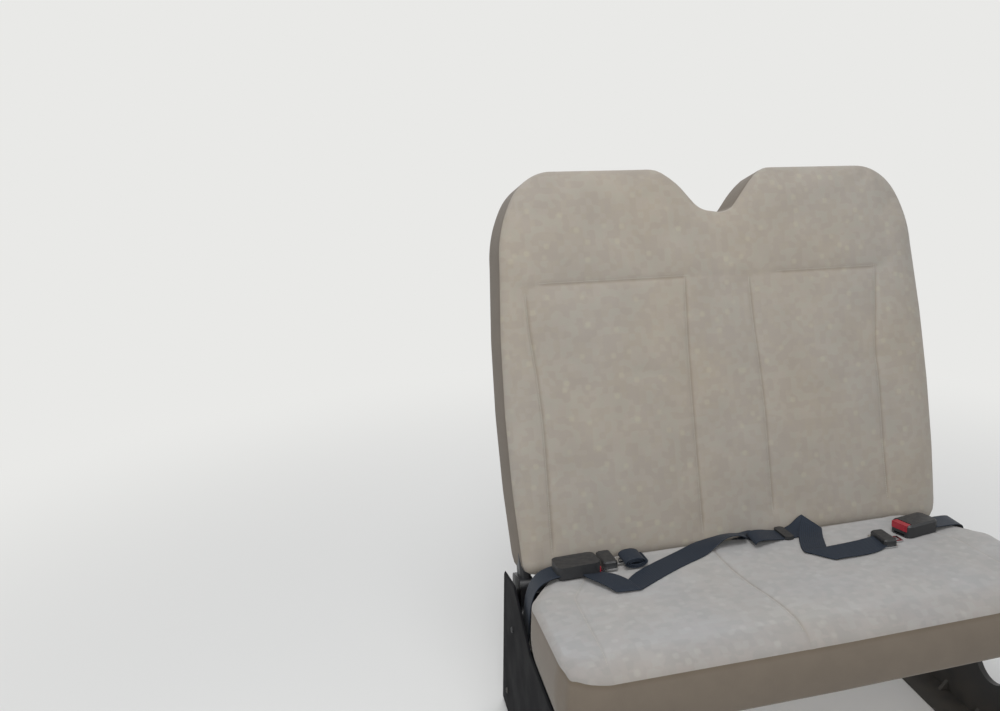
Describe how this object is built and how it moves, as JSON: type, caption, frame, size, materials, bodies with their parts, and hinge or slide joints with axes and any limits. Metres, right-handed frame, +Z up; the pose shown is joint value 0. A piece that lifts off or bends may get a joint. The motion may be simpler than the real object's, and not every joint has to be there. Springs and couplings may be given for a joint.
{
  "type": "double passenger seat",
  "caption": "Fixed high-backed double bus seat with a notched backrest, one shared cushion, two floor legs, an aisle-side cover and a lap belt for each place.",
  "frame": {"origin": "centre of the four floor bolt holes, on the floor", "axes": "+Z up from the floor, -Y the way the sitters face, +X towards the vehicle wall"},
  "size_m": [0.892, 0.6928, 1.0374],
  "materials": {
    "seat_fabric": "woven beige moquette with a faint scattered square figure, plain darker weave on the gussets",
    "plywood": "birch plywood, unpainted",
    "black_moulding": "black moulded plastic, fine grain",
    "black_steel": "black powder coat, satin",
    "zinc_steel": "bright zinc plate",
    "belt_webbing": "black polyester webbing, twill",
    "red_button": "red moulded plastic",
    "black_belt_plastic": "black moulded plastic, lightly worn",
    "chromed_steel": "chromed steel"
  },
  "bodies": {
    "root": {"aisle_cover": "black_moulding", "anchor_aisle": "zinc_steel", "anchor_centre_aisle_side": "zinc_steel", "anchor_centre_wall_side": "zinc_steel", "anchor_wall": "zinc_steel", "back_rail": "black_steel", "back_upright_aisle": "black_steel", "back_upright_wall": "black_steel", "backrest_pad": "seat_fabric", "belt_keeper": "black_belt_plastic", "brace_aisle_side": "black_steel", "brace_wall_side": "black_steel", "buckle_aisle": "black_belt_plastic", "buckle_button_aisle": "red_button", "buckle_button_wall": "red_button", "buckle_wall": "black_belt_plastic", "cushion_board": "plywood", "cushion_pad": "seat_fabric", "front_cross_tube": "black_steel", "leg_aisle": "black_steel", "leg_wall": "black_steel", "rear_cross_tube": "black_steel", "tongue_aisle": "chromed_steel", "tongue_grip_aisle": "black_belt_plastic", "tongue_grip_wall": "black_belt_plastic", "tongue_wall": "chromed_steel", "webbing_aisle": "belt_webbing", "webbing_centre_aisle": "belt_webbing", "webbing_centre_wall": "belt_webbing", "webbing_wall": "belt_webbing"}
  },
  "joints": []
}
